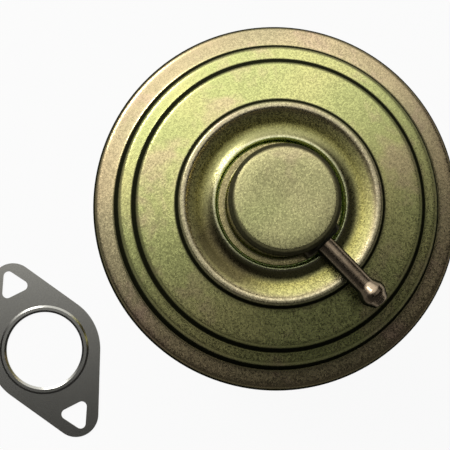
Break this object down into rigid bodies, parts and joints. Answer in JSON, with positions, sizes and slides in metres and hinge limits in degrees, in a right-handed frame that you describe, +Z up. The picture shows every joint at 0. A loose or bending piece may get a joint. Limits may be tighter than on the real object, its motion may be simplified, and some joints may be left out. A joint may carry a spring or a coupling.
{
  "type": "vacuum exhaust gas recirculation valve",
  "caption": "Vacuum diaphragm exhaust gas recirculation valve on a two-bolt cast base, with a stepped passivated can, a hose nipple and a loose flange gasket.",
  "frame": {"origin": "centre of the gas bore in the base flange's lower face, on the valve's axis", "axes": "+Z up the valve's axis to the vacuum cap, X along the two base bolts, -Y out of the side gas port"},
  "size_m": [0.1468, 0.1268, 0.1124],
  "materials": {
    "passivated_zinc": "yellow passivated zinc on pressed steel, fine blasted grain",
    "cast_iron": "cast iron, as cast, with machined faces",
    "seat_steel": "machined stainless steel",
    "bronze": "sintered bronze",
    "seal_rubber": "heat-resistant rubber",
    "pressed_steel": "plain pressed steel, zinc plated",
    "fibre": "pressed mineral fibre sheet",
    "spring_steel": "drawn spring wire",
    "gasket_steel": "grey coated embossed steel"
  },
  "bodies": {
    "valve": {"valve_body": "cast_iron", "valve_seat": "seat_steel", "guide_bush": "bronze", "deposit_shield": "seat_steel", "stem_seal": "seal_rubber", "seal_retainer": "pressed_steel", "insulating_gasket": "fibre", "support_frame": "passivated_zinc", "frame_screws": "pressed_steel", "lower_cover": "passivated_zinc", "frame_rivets": "pressed_steel", "upper_cover": "passivated_zinc", "vacuum_cap": "passivated_zinc", "nipple_collar": "passivated_zinc", "vacuum_nipple": "passivated_zinc", "diaphragm": "seal_rubber", "return_spring": "spring_steel"},
    "lifter": {"valve_stem": "seat_steel", "poppet": "seat_steel", "lower_plate": "pressed_steel", "spring_cup": "pressed_steel", "lock_washer": "pressed_steel", "stem_nut": "pressed_steel"},
    "gasket": {"gasket": "gasket_steel"}
  },
  "joints": [
    {"name": "valve_lift", "type": "slide", "parent": "valve", "child": "lifter", "axis": [0, 0, 1], "range_m": [0, 0.007], "stiffness_N_per_m": 3000, "springref_m": -0.007, "deforming": ["return_spring", "diaphragm"]},
    {"name": "gasket_lift", "type": "slide", "parent": "valve", "child": "gasket", "axis": [0, 0, 1], "range_m": [0, 0.04]}
  ]
}
